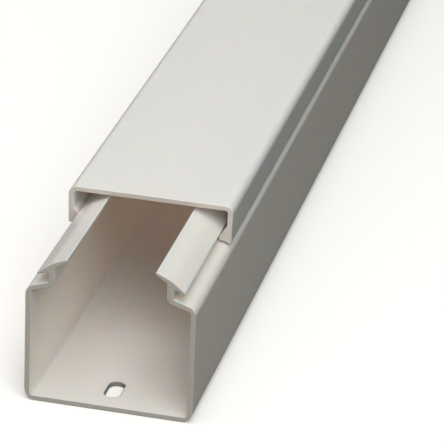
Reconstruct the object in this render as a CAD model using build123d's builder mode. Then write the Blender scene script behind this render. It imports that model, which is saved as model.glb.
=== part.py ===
# Wiring duct of rigid PVC, 60 mm square: a channel with snap lips and its clip-on cover.
# X runs across the duct, Y along it with the viewed end at -Y, Z up from the underside.
# The origin is the middle of the channel's underside. Millimetres throughout.
import os

from build123d import *

os.makedirs("parts", exist_ok=True)

# Overall: both pieces come off one stock length, the cover pushed back along the channel
stock_length = 2000.0
cover_setback = 52.2
duct_width = 60.0
duct_height = 58.8

# Channel: floor and walls of the extruded U
channel_wall = 1.9
channel_floor = 1.9
bottom_corner_radius = 4.4
floor_corner_radius = 1.2

# Ledge: each wall turns inward over a round shoulder and climbs towards the neck
ledge_rise = 2.7
ledge_thickness = 1.95
shoulder_radius = 3.6
shoulder_inner_radius = 1.1

# Neck: the short upright that carries the snap lip, with the hook's groove outside it
neck_inset = 8.1
neck_thickness = 2.25
neck_foot_radius = 2.6
groove_height = 3.95
groove_radius = 0.7

# Snap lip: an arched flange on the neck, a barb on its outer side and a thin wing inside
barb_overhang = 4.1
barb_thickness = 0.65
barb_undercut = 1.55
barb_tip_radius = 0.3
lip_drop = 6.45
crest_inset = 0.9
crest_drop = 2.45
crest_radius = 12.0
wing_overhang = 4.15
wing_thickness = 0.9
wing_root_drop = 3.9
wing_root_radius = 0.8
wing_tip_radius = 0.35

# Screw slots: one row punched along the floor, a little left of its middle
slot_width = 5.8
slot_length = 11.6
slot_pitch = 250.0
slot_count = 8
first_slot = 12.8
slot_row_x = -0.9

# Cover: a flat plate on two legs flush with the channel's sides, leaning in a little to grip
cover_plate = 1.75
cover_leg = 1.95
cover_corner_radius = 3.2
cover_inner_radius = 1.0
leg_lean = 0.25
lip_clearance = 1.4

# Hooks: each leg thickens below the barb into a nose with a sloping top and a round foot
hook_engagement = 0.8
hook_rise = 1.2
hook_nose_radius = 0.3
barb_clearance = 0.35
nose_clearance = 0.45
hook_root_radius = 0.5
heel_inset = 2.8
heel_radius = 0.5
foot_drop = 1.25
foot_radius = 0.8

# Distances from the duct's middle plane
half_width = duct_width / 2
half_length = stock_length / 2
wall_inside = half_width - channel_wall
neck_outside = half_width - neck_inset
neck_inside = neck_outside - neck_thickness
barb_reach = neck_outside + barb_overhang
crest_reach = neck_outside - crest_inset
wing_reach = neck_inside - wing_overhang
leg_inside = half_width - cover_leg
nose_reach = barb_reach - hook_engagement
heel_reach = half_width - heel_inset
foot_reach = half_width - leg_lean

# Heights of the lip, counted down from the cover's top
wing_top = duct_height - cover_plate - lip_clearance
wing_bottom = wing_top - wing_thickness
wing_root = wing_top - wing_root_drop
crest_height = wing_top - crest_drop
barb_top = wing_top - lip_drop
barb_bottom = barb_top - barb_thickness
barb_root = barb_bottom + barb_undercut


def ledge_height(reach):
    """Height of the ledge's upper side at a distance from the duct's middle."""
    return barb_root - groove_height - ledge_rise * (reach - neck_outside) / neck_inset


def hook_height(reach):
    """Height of the hook's sloping top, which clears the tip of the barb."""
    return barb_bottom - barb_clearance + hook_rise * (reach - barb_reach)


nose_bottom = ledge_height(nose_reach) + nose_clearance

# The channel is one extrusion; its half outline runs from the middle of the underside
# round the wall, ledge, neck and lip and back to the middle of the floor.
with BuildPart() as base_channel:
    with BuildSketch(Plane.XZ.offset(half_length)):
        with BuildLine():
            FilletPolyline(
                (0, 0),
                (half_width, 0),
                (half_width, ledge_height(half_width)),
                (neck_outside, ledge_height(neck_outside)),
                (neck_outside, barb_root),
                (barb_reach, barb_bottom),
                (barb_reach, barb_top),
                (crest_reach, crest_height),
                (wing_reach, wing_top),
                (wing_reach, wing_bottom),
                (neck_inside, wing_root),
                (neck_inside, ledge_height(neck_inside) - ledge_thickness),
                (wall_inside, ledge_height(wall_inside) - ledge_thickness),
                (wall_inside, channel_floor),
                (0, channel_floor),
                radius=(
                    bottom_corner_radius,
                    shoulder_radius,
                    groove_radius,
                    groove_radius,
                    barb_tip_radius,
                    barb_tip_radius,
                    crest_radius,
                    wing_tip_radius,
                    wing_tip_radius,
                    wing_root_radius,
                    neck_foot_radius,
                    shoulder_inner_radius,
                    floor_corner_radius,
                ),
            )
            mirror(about=Plane.YZ)
        make_face()
    extrude(amount=-stock_length)
    with BuildSketch(Plane.XY):
        for index in range(slot_count):
            with Locations((slot_row_x, first_slot + index * slot_pitch - half_length)):
                SlotOverall(slot_length, slot_width, rotation=90)
    extrude(amount=channel_floor, mode=Mode.SUBTRACT)

# The cover is one extrusion of the same length; its feet hang clear of the ledge
# and its noses reach in under the barbs.
with BuildPart() as cover:
    with BuildSketch(Plane.XZ.offset(half_length - cover_setback)):
        with BuildLine():
            FilletPolyline(
                (0, duct_height),
                (half_width, duct_height),
                (foot_reach, nose_bottom - foot_drop),
                (heel_reach, nose_bottom),
                (nose_reach, nose_bottom),
                (nose_reach, hook_height(nose_reach)),
                (leg_inside, hook_height(leg_inside)),
                (leg_inside, duct_height - cover_plate),
                (0, duct_height - cover_plate),
                radius=(
                    cover_corner_radius,
                    foot_radius,
                    heel_radius,
                    hook_nose_radius,
                    hook_nose_radius,
                    hook_root_radius,
                    cover_inner_radius,
                ),
            )
            mirror(about=Plane.YZ)
        make_face()
    extrude(amount=-stock_length)

base_channel.part.label = "base_channel"
export_step(base_channel.part, "parts/base_channel.step")

cover.part.label = "cover"
export_step(cover.part, "parts/cover.step")
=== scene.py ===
# A 2 m length of square rigid PVC wiring duct lying on a pale table top: the channel with
# its snap lips and screw slots, and the clip-on cover pushed back along it. Metres throughout.
import math

import bmesh
import bpy
from mathutils import Matrix, Vector


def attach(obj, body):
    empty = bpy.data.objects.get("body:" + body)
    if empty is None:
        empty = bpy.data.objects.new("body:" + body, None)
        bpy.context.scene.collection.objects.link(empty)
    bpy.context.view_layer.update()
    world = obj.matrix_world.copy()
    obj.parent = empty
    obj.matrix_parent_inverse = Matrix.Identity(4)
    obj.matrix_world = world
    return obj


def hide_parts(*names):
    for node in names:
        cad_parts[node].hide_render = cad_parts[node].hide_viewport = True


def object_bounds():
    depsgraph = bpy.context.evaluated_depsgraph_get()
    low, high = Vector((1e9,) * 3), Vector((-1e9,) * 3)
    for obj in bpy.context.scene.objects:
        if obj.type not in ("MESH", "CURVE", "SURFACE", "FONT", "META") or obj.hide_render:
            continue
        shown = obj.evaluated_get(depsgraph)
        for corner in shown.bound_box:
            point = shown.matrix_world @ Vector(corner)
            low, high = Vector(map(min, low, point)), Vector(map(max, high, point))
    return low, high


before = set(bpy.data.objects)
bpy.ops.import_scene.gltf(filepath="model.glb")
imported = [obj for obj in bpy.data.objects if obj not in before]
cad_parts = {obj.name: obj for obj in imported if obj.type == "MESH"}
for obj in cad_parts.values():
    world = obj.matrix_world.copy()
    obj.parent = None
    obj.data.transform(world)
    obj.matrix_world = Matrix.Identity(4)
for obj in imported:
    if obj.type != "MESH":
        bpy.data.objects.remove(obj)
cad_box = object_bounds()


# Camera: a long lens to the right of the viewed end, looking down along the duct.
# Its place, its turn and its lens come from the photograph's straight edges.
camera_data = bpy.data.cameras.new("camera")
camera_data.sensor_width = 36.0
camera_data.lens = 242.6
camera_data.clip_end = 50.0
camera = bpy.data.objects.new("camera", camera_data)
bpy.context.scene.collection.objects.link(camera)
bpy.context.scene.camera = camera

azimuth = math.radians(12.377)
elevation = math.radians(24.896)
roll = math.radians(2.437)
backward = Vector((
    math.sin(azimuth) * math.cos(elevation),
    -math.cos(azimuth) * math.cos(elevation),
    math.sin(elevation),
))
rightward = Vector((math.cos(azimuth), math.sin(azimuth), 0.0))
upward = backward.cross(rightward)
turned_right = rightward * math.cos(roll) + upward * math.sin(roll)
turned_up = upward * math.cos(roll) - rightward * math.sin(roll)
camera_turn = Matrix((turned_right, turned_up, backward)).transposed()
camera_place = Vector((0.23042, -1.87872, 0.49502))
camera.matrix_world = Matrix.Translation(camera_place) @ camera_turn.to_4x4()


# Floor and light: the duct lies on the opal top of a light table, below a large softbox that
# hangs in front of the viewed end and to its right. Weak panels stand to the right, in front
# and to the left, and a dome of cloth goes over everything.
def srgb(code, alpha=1.0):
    """Linear colour of an sRGB hex value."""
    parts = [int(code[i:i + 2], 16) / 255 for i in (1, 3, 5)]
    linear = [c / 12.92 if c <= 0.04045 else ((c + 0.055) / 1.055) ** 2.4 for c in parts]
    return (*linear, alpha)


# Opal acrylic with a matt face: roughness 0.9 leaves it no gloss, and a weak lamp below
# makes it an even white
table_acrylic = bpy.data.materials.new("matt_opal_acrylic")
table_acrylic.use_nodes = True
table_shader = table_acrylic.node_tree.nodes["Principled BSDF"]
table_shader.inputs["Base Color"].default_value = srgb("#FCFBF8")
table_shader.inputs["Roughness"].default_value = 0.9
table_shader.inputs["Emission Color"].default_value = srgb("#FFFFFF")
table_shader.inputs["Emission Strength"].default_value = 0.16

TABLE_REACH = 6.0
floor_shape = bmesh.new()
bmesh.ops.create_grid(floor_shape, x_segments=1, y_segments=1, size=TABLE_REACH)
floor_data = bpy.data.meshes.new("floor")
floor_shape.to_mesh(floor_data)
floor_shape.free()
floor_data.materials.append(table_acrylic)
floor = bpy.data.objects.new("floor", floor_data)
bpy.context.scene.collection.objects.link(floor)
# The floor throws no light back at the duct, whose shaded side is dark in the photograph
floor.visible_diffuse = False
floor.visible_glossy = False


def add_softbox(name, place, aim, width, height, power, tint):
    """A rectangular area light at a place, facing a point."""
    light = bpy.data.lights.new(name, "AREA")
    light.shape = "RECTANGLE"
    light.size = width
    light.size_y = height
    light.energy = power
    light.color = srgb(tint)[:3]
    box = bpy.data.objects.new(name, light)
    box.location = place
    box.rotation_euler = (Vector(aim) - Vector(place)).to_track_quat("-Z", "Y").to_euler()
    box.visible_camera = False
    bpy.context.scene.collection.objects.link(box)


COVER_EDGE = (0.0, -0.95, 0.0)
UNDER_COVER = (0.0, -0.9, 0.0)
DEEP_INSIDE = (0.0, -0.75, 0.0)
add_softbox("softbox_above", place=(0.5, -1.9, 2.15), aim=UNDER_COVER,
            width=1.4, height=2.7, power=33.0, tint="#FFFCFB")
add_softbox("panel_right", place=(1.0, -1.8, 0.95), aim=COVER_EDGE,
            width=0.8, height=0.6, power=1.6, tint="#D2FFEE")
add_softbox("panel_front", place=(0.6, -3.1, 0.65), aim=COVER_EDGE,
            width=0.9, height=0.7, power=10.8, tint="#FFFAF6")
add_softbox("panel_left", place=(-1.5, -0.95, 0.75), aim=UNDER_COVER,
            width=1.0, height=0.8, power=4.2, tint="#FFF6EC")
# A weak strip stands for the light that soaks in through the thin walls and comes out warm
add_softbox("glow_inside", place=(0.0, -0.75, 0.038), aim=DEEP_INSIDE,
            width=0.03, height=0.24, power=0.0068, tint="#FFDCC0")


def add_node(tree, kind, links=(), **settings):
    """Adds a node, sets its sockets or properties by name, and links (from, to) sockets."""
    node = tree.nodes.new(kind)
    for key, value in settings.items():
        if hasattr(node, key):
            setattr(node, key, value)
        else:
            node.inputs[key.replace("_", " ")].default_value = value
    for source, target in links:
        tree.links.new(source, node.inputs[target])
    return node


# The dome is bright overhead and dims all the way down to the horizon, dark below it too
HORIZON = 0.0
DIM_BAND = 0.25
ZENITH = 1.0
sky = bpy.data.worlds.new("cloth_dome")
sky.use_nodes = True
sky_tree = sky.node_tree
around = add_node(sky_tree, "ShaderNodeTexCoord")
rise = add_node(sky_tree, "ShaderNodeSeparateXYZ", [(around.outputs["Generated"], "Vector")])
dome = add_node(sky_tree, "ShaderNodeValToRGB", [(rise.outputs["Z"], "Fac")])
dome.color_ramp.elements[0].position = HORIZON
dome.color_ramp.elements[0].color = srgb("#2C2E2D")
dome.color_ramp.elements.new(DIM_BAND).color = srgb("#40524E")
dome.color_ramp.elements[-1].position = ZENITH
dome.color_ramp.elements[-1].color = srgb("#FFFFFF")
backdrop = sky_tree.nodes["Background"]
sky_tree.links.new(dome.outputs["Color"], backdrop.inputs["Color"])
backdrop.inputs["Strength"].default_value = 0.7
bpy.context.scene.world = sky
bpy.context.scene.view_settings.view_transform = "Standard"


# Channel: one extrusion of rigid PVC, its floor, walls, ledges and snap lips all in one. It is
# sawn square at both ends, and a row of screw slots is punched through its floor.
MM = 0.001

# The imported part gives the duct's width, height and length, read here to the micrometre
TO_MICROMETRES = 6
half_width, cover_end, duct_height = [round(reach, TO_MICROMETRES) for reach in cad_box[1]]
front_end = round(cad_box[0][1], TO_MICROMETRES)
stock_length = -2 * front_end

# Walls and floor
WALL_THICKNESS = 1.9 * MM
FLOOR_THICKNESS = 1.9 * MM
BOTTOM_CORNER_RADIUS = 4.4 * MM
FLOOR_CORNER_RADIUS = 1.2 * MM

# Ledges: each wall turns inward over a round shoulder and climbs towards its neck
LEDGE_RISE = 2.7 * MM
LEDGE_THICKNESS = 1.95 * MM
SHOULDER_RADIUS = 3.6 * MM
SHOULDER_INNER_RADIUS = 1.1 * MM

# Necks: short uprights that carry the lips, with the hook's groove outside them
NECK_INSET = 8.1 * MM
NECK_THICKNESS = 2.25 * MM
NECK_FOOT_RADIUS = 2.6 * MM
GROOVE_HEIGHT = 3.95 * MM
GROOVE_RADIUS = 0.7 * MM

# Snap lips: an arched flange with a barb outside and a thin wing inside
BARB_OVERHANG = 4.1 * MM
BARB_THICKNESS = 0.65 * MM
BARB_UNDERCUT = 1.55 * MM
BARB_TIP_RADIUS = 0.3 * MM
LIP_DROP = 6.45 * MM
CREST_INSET = 0.9 * MM
CREST_DROP = 2.45 * MM
CREST_RADIUS = 12.0 * MM
WING_OVERHANG = 4.15 * MM
WING_THICKNESS = 0.9 * MM
WING_ROOT_DROP = 3.9 * MM
WING_ROOT_RADIUS = 0.8 * MM
WING_TIP_RADIUS = 0.35 * MM

# Distances from the duct's middle, and heights, the lip's own counted down from the plate
COVER_PLATE = 1.75 * MM
LIP_CLEARANCE = 1.4 * MM
wall_inside = half_width - WALL_THICKNESS
neck_outside = half_width - NECK_INSET
neck_inside = neck_outside - NECK_THICKNESS
barb_reach = neck_outside + BARB_OVERHANG
crest_reach = neck_outside - CREST_INSET
wing_reach = neck_inside - WING_OVERHANG
wing_top = duct_height - COVER_PLATE - LIP_CLEARANCE
wing_bottom = wing_top - WING_THICKNESS
wing_root = wing_top - WING_ROOT_DROP
crest_height = wing_top - CREST_DROP
barb_top = wing_top - LIP_DROP
barb_bottom = barb_top - BARB_THICKNESS
barb_root = barb_bottom + BARB_UNDERCUT


def ledge_height(reach):
    """Height of the ledge's upper side at a distance from the duct's middle."""
    return barb_root - GROOVE_HEIGHT - LEDGE_RISE * (reach - neck_outside) / NECK_INSET


# Half of the section, as (across, up, corner radius), from the middle of the underside
# round the wall, ledge, neck and lip and back to the middle of the floor
channel_half = [
    (0.0, 0.0, 0.0),
    (half_width, 0.0, BOTTOM_CORNER_RADIUS),
    (half_width, ledge_height(half_width), SHOULDER_RADIUS),
    (neck_outside, ledge_height(neck_outside), GROOVE_RADIUS),
    (neck_outside, barb_root, GROOVE_RADIUS),
    (barb_reach, barb_bottom, BARB_TIP_RADIUS),
    (barb_reach, barb_top, BARB_TIP_RADIUS),
    (crest_reach, crest_height, CREST_RADIUS),
    (wing_reach, wing_top, WING_TIP_RADIUS),
    (wing_reach, wing_bottom, WING_TIP_RADIUS),
    (neck_inside, wing_root, WING_ROOT_RADIUS),
    (neck_inside, ledge_height(neck_inside) - LEDGE_THICKNESS, NECK_FOOT_RADIUS),
    (wall_inside, ledge_height(wall_inside) - LEDGE_THICKNESS, SHOULDER_INNER_RADIUS),
    (wall_inside, FLOOR_THICKNESS, FLOOR_CORNER_RADIUS),
    (0.0, FLOOR_THICKNESS, 0.0),
]

# Screw slots: one row along the floor, a little left of its middle
SLOT_WIDTH = 5.8 * MM
SLOT_LENGTH = 11.6 * MM
SLOT_PITCH = 250.0 * MM
SLOT_COUNT = 8
FIRST_SLOT = 12.8 * MM
SLOT_ROW = -0.9 * MM
SLOT_RIM = 0.2 * MM
SLOT_SIDES = 32

# A few passes of a file break the sawn edges
BROKEN_EDGE = 0.24 * MM

# Steps in each rounded corner, and the turn between two faces past which their edge is crisp
ARC_STEPS = 8
CRISP_TURN = math.radians(35)

# A face looks along an axis when its normal has this much of it
SQUARE_ON = 0.99

# Places of the cut materials in a piece's list, after the skin at 0
SAWN = 1
# The slot walls' material is darkened as painted shade for the recess they sit in
PUNCHED_PAINTED_SHADE = 2

# Finish: real die lines are about 0.1 mm apart, so they are drawn as coarse as they need to
# be to show, and the mottle is a slow wander of tone
PVC_IOR = 1.54
DIE_LINE_SPACING = 1.2 * MM
DIE_LINE_LENGTH = 500.0 * MM
DIE_LINE_DEPTH = 0.02 * MM
MOTTLE_WIDTH = 40.0 * MM
MOTTLE_LENGTH = 200.0 * MM
LIGHT_SOAK = 2.5 * MM
SAW_MARK_SPACING = 0.3 * MM
SAW_MARK_LENGTH = 12.0 * MM
SAW_MARK_DEPTH = 0.05 * MM
SAW_TILT = math.radians(8)


def extruded_pvc(name, main_hex, mottle_hex):
    """Rigid PVC with titanium white, extruded. The die and the sizing sleeve leave it between
    satin and gloss, with fine lines along it and a tone that wanders a little."""
    material = bpy.data.materials.new(name)
    material.use_nodes = True
    tree = material.node_tree
    shader = tree.nodes["Principled BSDF"]
    shader.inputs["IOR"].default_value = PVC_IOR
    shader.inputs["Roughness"].default_value = 0.32
    # Light passes a 2 mm wall weakly and comes out warm
    shader.subsurface_method = "RANDOM_WALK"
    shader.inputs["Subsurface Weight"].default_value = 1.0
    shader.inputs["Subsurface Radius"].default_value = (1.0, 0.75, 0.5)
    shader.inputs["Subsurface Scale"].default_value = LIGHT_SOAK
    place = add_node(tree, "ShaderNodeTexCoord")
    stretch = add_node(tree, "ShaderNodeMapping", [(place.outputs["Object"], "Vector")],
                       Scale=(1 / DIE_LINE_SPACING, 1 / DIE_LINE_LENGTH, 1 / DIE_LINE_SPACING))
    lines = add_node(tree, "ShaderNodeTexNoise", [(stretch.outputs["Vector"], "Vector")],
                     Scale=1.0, Detail=3.0, Roughness=0.55)
    spread = add_node(tree, "ShaderNodeMapping", [(place.outputs["Object"], "Vector")],
                      Scale=(1 / MOTTLE_WIDTH, 1 / MOTTLE_LENGTH, 1 / MOTTLE_WIDTH))
    mottle = add_node(tree, "ShaderNodeTexNoise", [(spread.outputs["Vector"], "Vector")],
                      Scale=1.0, Detail=4.0, Roughness=0.6)
    tone = add_node(tree, "ShaderNodeMix", [(mottle.outputs["Fac"], "Factor")], data_type="RGBA")
    tone.inputs["A"].default_value = srgb(main_hex)
    tone.inputs["B"].default_value = srgb(mottle_hex)
    tree.links.new(tone.outputs["Result"], shader.inputs["Base Color"])
    relief = add_node(tree, "ShaderNodeBump", [(lines.outputs["Fac"], "Height")],
                      Strength=0.25, Distance=DIE_LINE_DEPTH)
    tree.links.new(relief.outputs["Normal"], shader.inputs["Normal"])
    return material


def cut_pvc(name, light_hex, dark_hex):
    """Rigid PVC where a saw or a punch went through. The torn face scatters what the skin
    would reflect, so it is matt and darker, with nearly level tool marks. The colours each
    piece passes in also hold painted shade: darker for faces that sit lower and get less light."""
    material = bpy.data.materials.new(name)
    material.use_nodes = True
    tree = material.node_tree
    shader = tree.nodes["Principled BSDF"]
    shader.inputs["IOR"].default_value = PVC_IOR
    shader.inputs["Roughness"].default_value = 0.7
    place = add_node(tree, "ShaderNodeTexCoord")
    stretch = add_node(tree, "ShaderNodeMapping", [(place.outputs["Object"], "Vector")],
                       Rotation=(0.0, SAW_TILT, 0.0),
                       Scale=(1 / SAW_MARK_LENGTH, 1.0, 1 / SAW_MARK_SPACING))
    marks = add_node(tree, "ShaderNodeTexNoise", [(stretch.outputs["Vector"], "Vector")],
                     Scale=1.0, Detail=3.0, Roughness=0.6)
    tone = add_node(tree, "ShaderNodeMix", [(marks.outputs["Fac"], "Factor")], data_type="RGBA")
    tone.inputs["A"].default_value = srgb(dark_hex)
    tone.inputs["B"].default_value = srgb(light_hex)
    tree.links.new(tone.outputs["Result"], shader.inputs["Base Color"])
    relief = add_node(tree, "ShaderNodeBump", [(marks.outputs["Fac"], "Height")],
                      Strength=0.5, Distance=SAW_MARK_DEPTH)
    tree.links.new(relief.outputs["Normal"], shader.inputs["Normal"])
    return material


def mirrored(corners):
    """Corners of one half, from the middle outwards and back, joined to their mirror image."""
    return corners[1:-1] + [(-across, up, radius) for across, up, radius in reversed(corners[1:-1])]


def rounded_section(corners):
    """A filled section from its corners, each rounded by a vertex bevel."""
    shape = bmesh.new()
    points = [shape.verts.new((across, 0.0, up)) for across, up, _ in corners]
    shape.faces.new(points)
    for point, (_, _, radius) in zip(points, corners):
        ahead, behind = [edge.other_vert(point).co - point.co for edge in point.link_edges]
        reach = radius / math.tan(ahead.angle(behind) / 2)
        bmesh.ops.bevel(shape, geom=[point], offset=reach, segments=ARC_STEPS,
                        profile=0.5, affect="VERTICES", material=-1)
    return shape


def draw_out(shape, front):
    """Pulls a filled section into a full length from y = front, its sawn edges just broken."""
    bmesh.ops.translate(shape, verts=shape.verts, vec=(0.0, front, 0.0))
    pulled = bmesh.ops.extrude_face_region(shape, geom=shape.faces[:])
    far = [part for part in pulled["geom"] if isinstance(part, bmesh.types.BMVert)]
    bmesh.ops.translate(shape, verts=far, vec=(0.0, stock_length, 0.0))
    bmesh.ops.recalc_face_normals(shape, faces=shape.faces)
    sawn_ends = [face for face in shape.faces if abs(face.normal.y) > SQUARE_ON]
    for sawn_end in sawn_ends:
        sawn_end.material_index = SAWN
    rims = [edge for sawn_end in sawn_ends for edge in sawn_end.edges]
    bmesh.ops.bevel(shape, geom=rims, offset=BROKEN_EDGE, segments=2,
                    profile=0.5, affect="EDGES", material=-1)


def slot_ring(shape, along, height, extra):
    """Edges of one slot's outline, widened by extra, at a place along the duct."""
    middle = Vector((SLOT_ROW, along, height))
    # Turned by half a side, the circle has no corner on the line where it is pulled apart
    half_a_side = Matrix.Rotation(math.pi / SLOT_SIDES, 4, "Z")
    ring = bmesh.ops.create_circle(shape, segments=SLOT_SIDES, radius=SLOT_WIDTH / 2 + extra,
                                   matrix=half_a_side)["verts"]
    for point in ring:
        point.co.y += math.copysign((SLOT_LENGTH - SLOT_WIDTH) / 2, point.co.y)
        point.co += middle
    # Each edge once, in the ring's order
    return list(dict.fromkeys(edge for point in ring for edge in point.link_edges))


def long_flats(shape, height):
    """The floor's upper side or underside: level, at that height, wider than half the duct."""
    return [
        face for face in shape.faces
        if abs(face.normal.z) > SQUARE_ON
        and abs(face.calc_center_median().z - height) < SLOT_RIM / 4
        and face.calc_area() > stock_length * half_width
    ]


def punch_slots(shape):
    """Refills the floor's two long faces round the slots and lines each slot with its wall."""
    upper_rings, lower_rings = [], []
    for index in range(SLOT_COUNT):
        along = front_end + FIRST_SLOT + index * SLOT_PITCH
        rings = [
            slot_ring(shape, along, FLOOR_THICKNESS, SLOT_RIM),
            slot_ring(shape, along, FLOOR_THICKNESS - SLOT_RIM, 0.0),
            slot_ring(shape, along, SLOT_RIM, 0.0),
            slot_ring(shape, along, 0.0, SLOT_RIM),
        ]
        # The slot walls take the material darkened as painted shade for the recess
        for above, below in zip(rings, rings[1:]):
            for face in bmesh.ops.bridge_loops(shape, edges=above + below)["faces"]:
                face.material_index = PUNCHED_PAINTED_SHADE
        upper_rings += rings[0]
        lower_rings += rings[-1]
    for height, rings in ((FLOOR_THICKNESS, upper_rings), (0.0, lower_rings)):
        flats = long_flats(shape, height)
        rim = [edge for face in flats for edge in face.edges]
        bmesh.ops.delete(shape, geom=flats, context="FACES_ONLY")
        bmesh.ops.triangle_fill(shape, use_beauty=True, edges=rim + rings)
    bmesh.ops.recalc_face_normals(shape, faces=shape.faces)


def finished_piece(name, shape, materials):
    """Object of a shape: round stretches shaded smooth, flats kept flat, cuts kept crisp."""
    data = bpy.data.meshes.new(name)
    shape.to_mesh(data)
    shape.free()
    for material in materials:
        data.materials.append(material)
    data.shade_smooth()
    data.set_sharp_from_angle(angle=CRISP_TURN)
    piece = bpy.data.objects.new(name, data)
    bpy.context.scene.collection.objects.link(piece)
    flats = piece.modifiers.new("flats", "WEIGHTED_NORMAL")
    flats.keep_sharp = True
    return piece


channel_shape = rounded_section(mirrored(channel_half))
draw_out(channel_shape, front_end)
punch_slots(channel_shape)
channel_pvc = extruded_pvc("extruded_rigid_pvc_channel", "#F3EDE8", "#F1E9E3")
# The channel's sawn ends are coloured darker than the cover's: painted shade, as these lower faces
# get less light
channel_cut_painted_shade = cut_pvc("sawn_pvc_channel_painted_shade", "#D9D3CA", "#BDB7AE")
# Slot walls: punched PVC, coloured darker still as painted shade for the recess
slot_wall_painted_shade = cut_pvc("punched_pvc_painted_shade", "#ABA69F", "#928D87")
channel = finished_piece("duct_channel", channel_shape, [channel_pvc, channel_cut_painted_shade, slot_wall_painted_shade])
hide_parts("base_channel")
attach(channel, "channel")


# Cover: one extrusion of rigid PVC as long as the channel, a flat plate on two hooked legs.
# It clips over the channel's barbs and is pushed back from the viewed end.
COVER_LEG = 1.95 * MM
COVER_CORNER_RADIUS = 3.2 * MM
COVER_INNER_RADIUS = 1.0 * MM
LEG_LEAN = 0.25 * MM

# Hooks: a nose below the barb, with a sloping top and a round foot
HOOK_ENGAGEMENT = 0.8 * MM
HOOK_RISE = 1.2
HOOK_NOSE_RADIUS = 0.3 * MM
BARB_CLEARANCE = 0.35 * MM
NOSE_CLEARANCE = 0.45 * MM
HOOK_ROOT_RADIUS = 0.5 * MM
HEEL_INSET = 2.8 * MM
HEEL_RADIUS = 0.5 * MM
FOOT_DROP = 1.25 * MM
FOOT_RADIUS = 0.8 * MM


def hook_height(reach):
    """Height of the hook's sloping top, which clears the tip of the barb."""
    return barb_bottom - BARB_CLEARANCE + HOOK_RISE * (reach - barb_reach)


leg_inside = half_width - COVER_LEG
heel_reach = half_width - HEEL_INSET
foot_reach = half_width - LEG_LEAN
nose_reach = barb_reach - HOOK_ENGAGEMENT
nose_bottom = ledge_height(nose_reach) + NOSE_CLEARANCE

# Half of the section, from the middle of the top round the leg and hook to the plate's inside
cover_half = [
    (0.0, duct_height, 0.0),
    (half_width, duct_height, COVER_CORNER_RADIUS),
    (foot_reach, nose_bottom - FOOT_DROP, FOOT_RADIUS),
    (heel_reach, nose_bottom, HEEL_RADIUS),
    (nose_reach, nose_bottom, HOOK_NOSE_RADIUS),
    (nose_reach, hook_height(nose_reach), HOOK_NOSE_RADIUS),
    (leg_inside, hook_height(leg_inside), HOOK_ROOT_RADIUS),
    (leg_inside, duct_height - COVER_PLATE, COVER_INNER_RADIUS),
    (0.0, duct_height - COVER_PLATE, 0.0),
]

cover_front = cover_end - stock_length
cover_shape = rounded_section(mirrored(cover_half))
draw_out(cover_shape, cover_front)
cover_pvc = extruded_pvc("extruded_rigid_pvc_cover", "#F2EEEB", "#F0ECE8")
# The cover's sawn ends keep the lighter colour of the same sawn PVC; the channel's darker one is
# painted shade
cover_cut = cut_pvc("sawn_rigid_pvc_cover", "#E7DFD6", "#CFC7BE")
cover = finished_piece("duct_cover", cover_shape, [cover_pvc, cover_cut])
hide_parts("cover")
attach(cover, "cover")
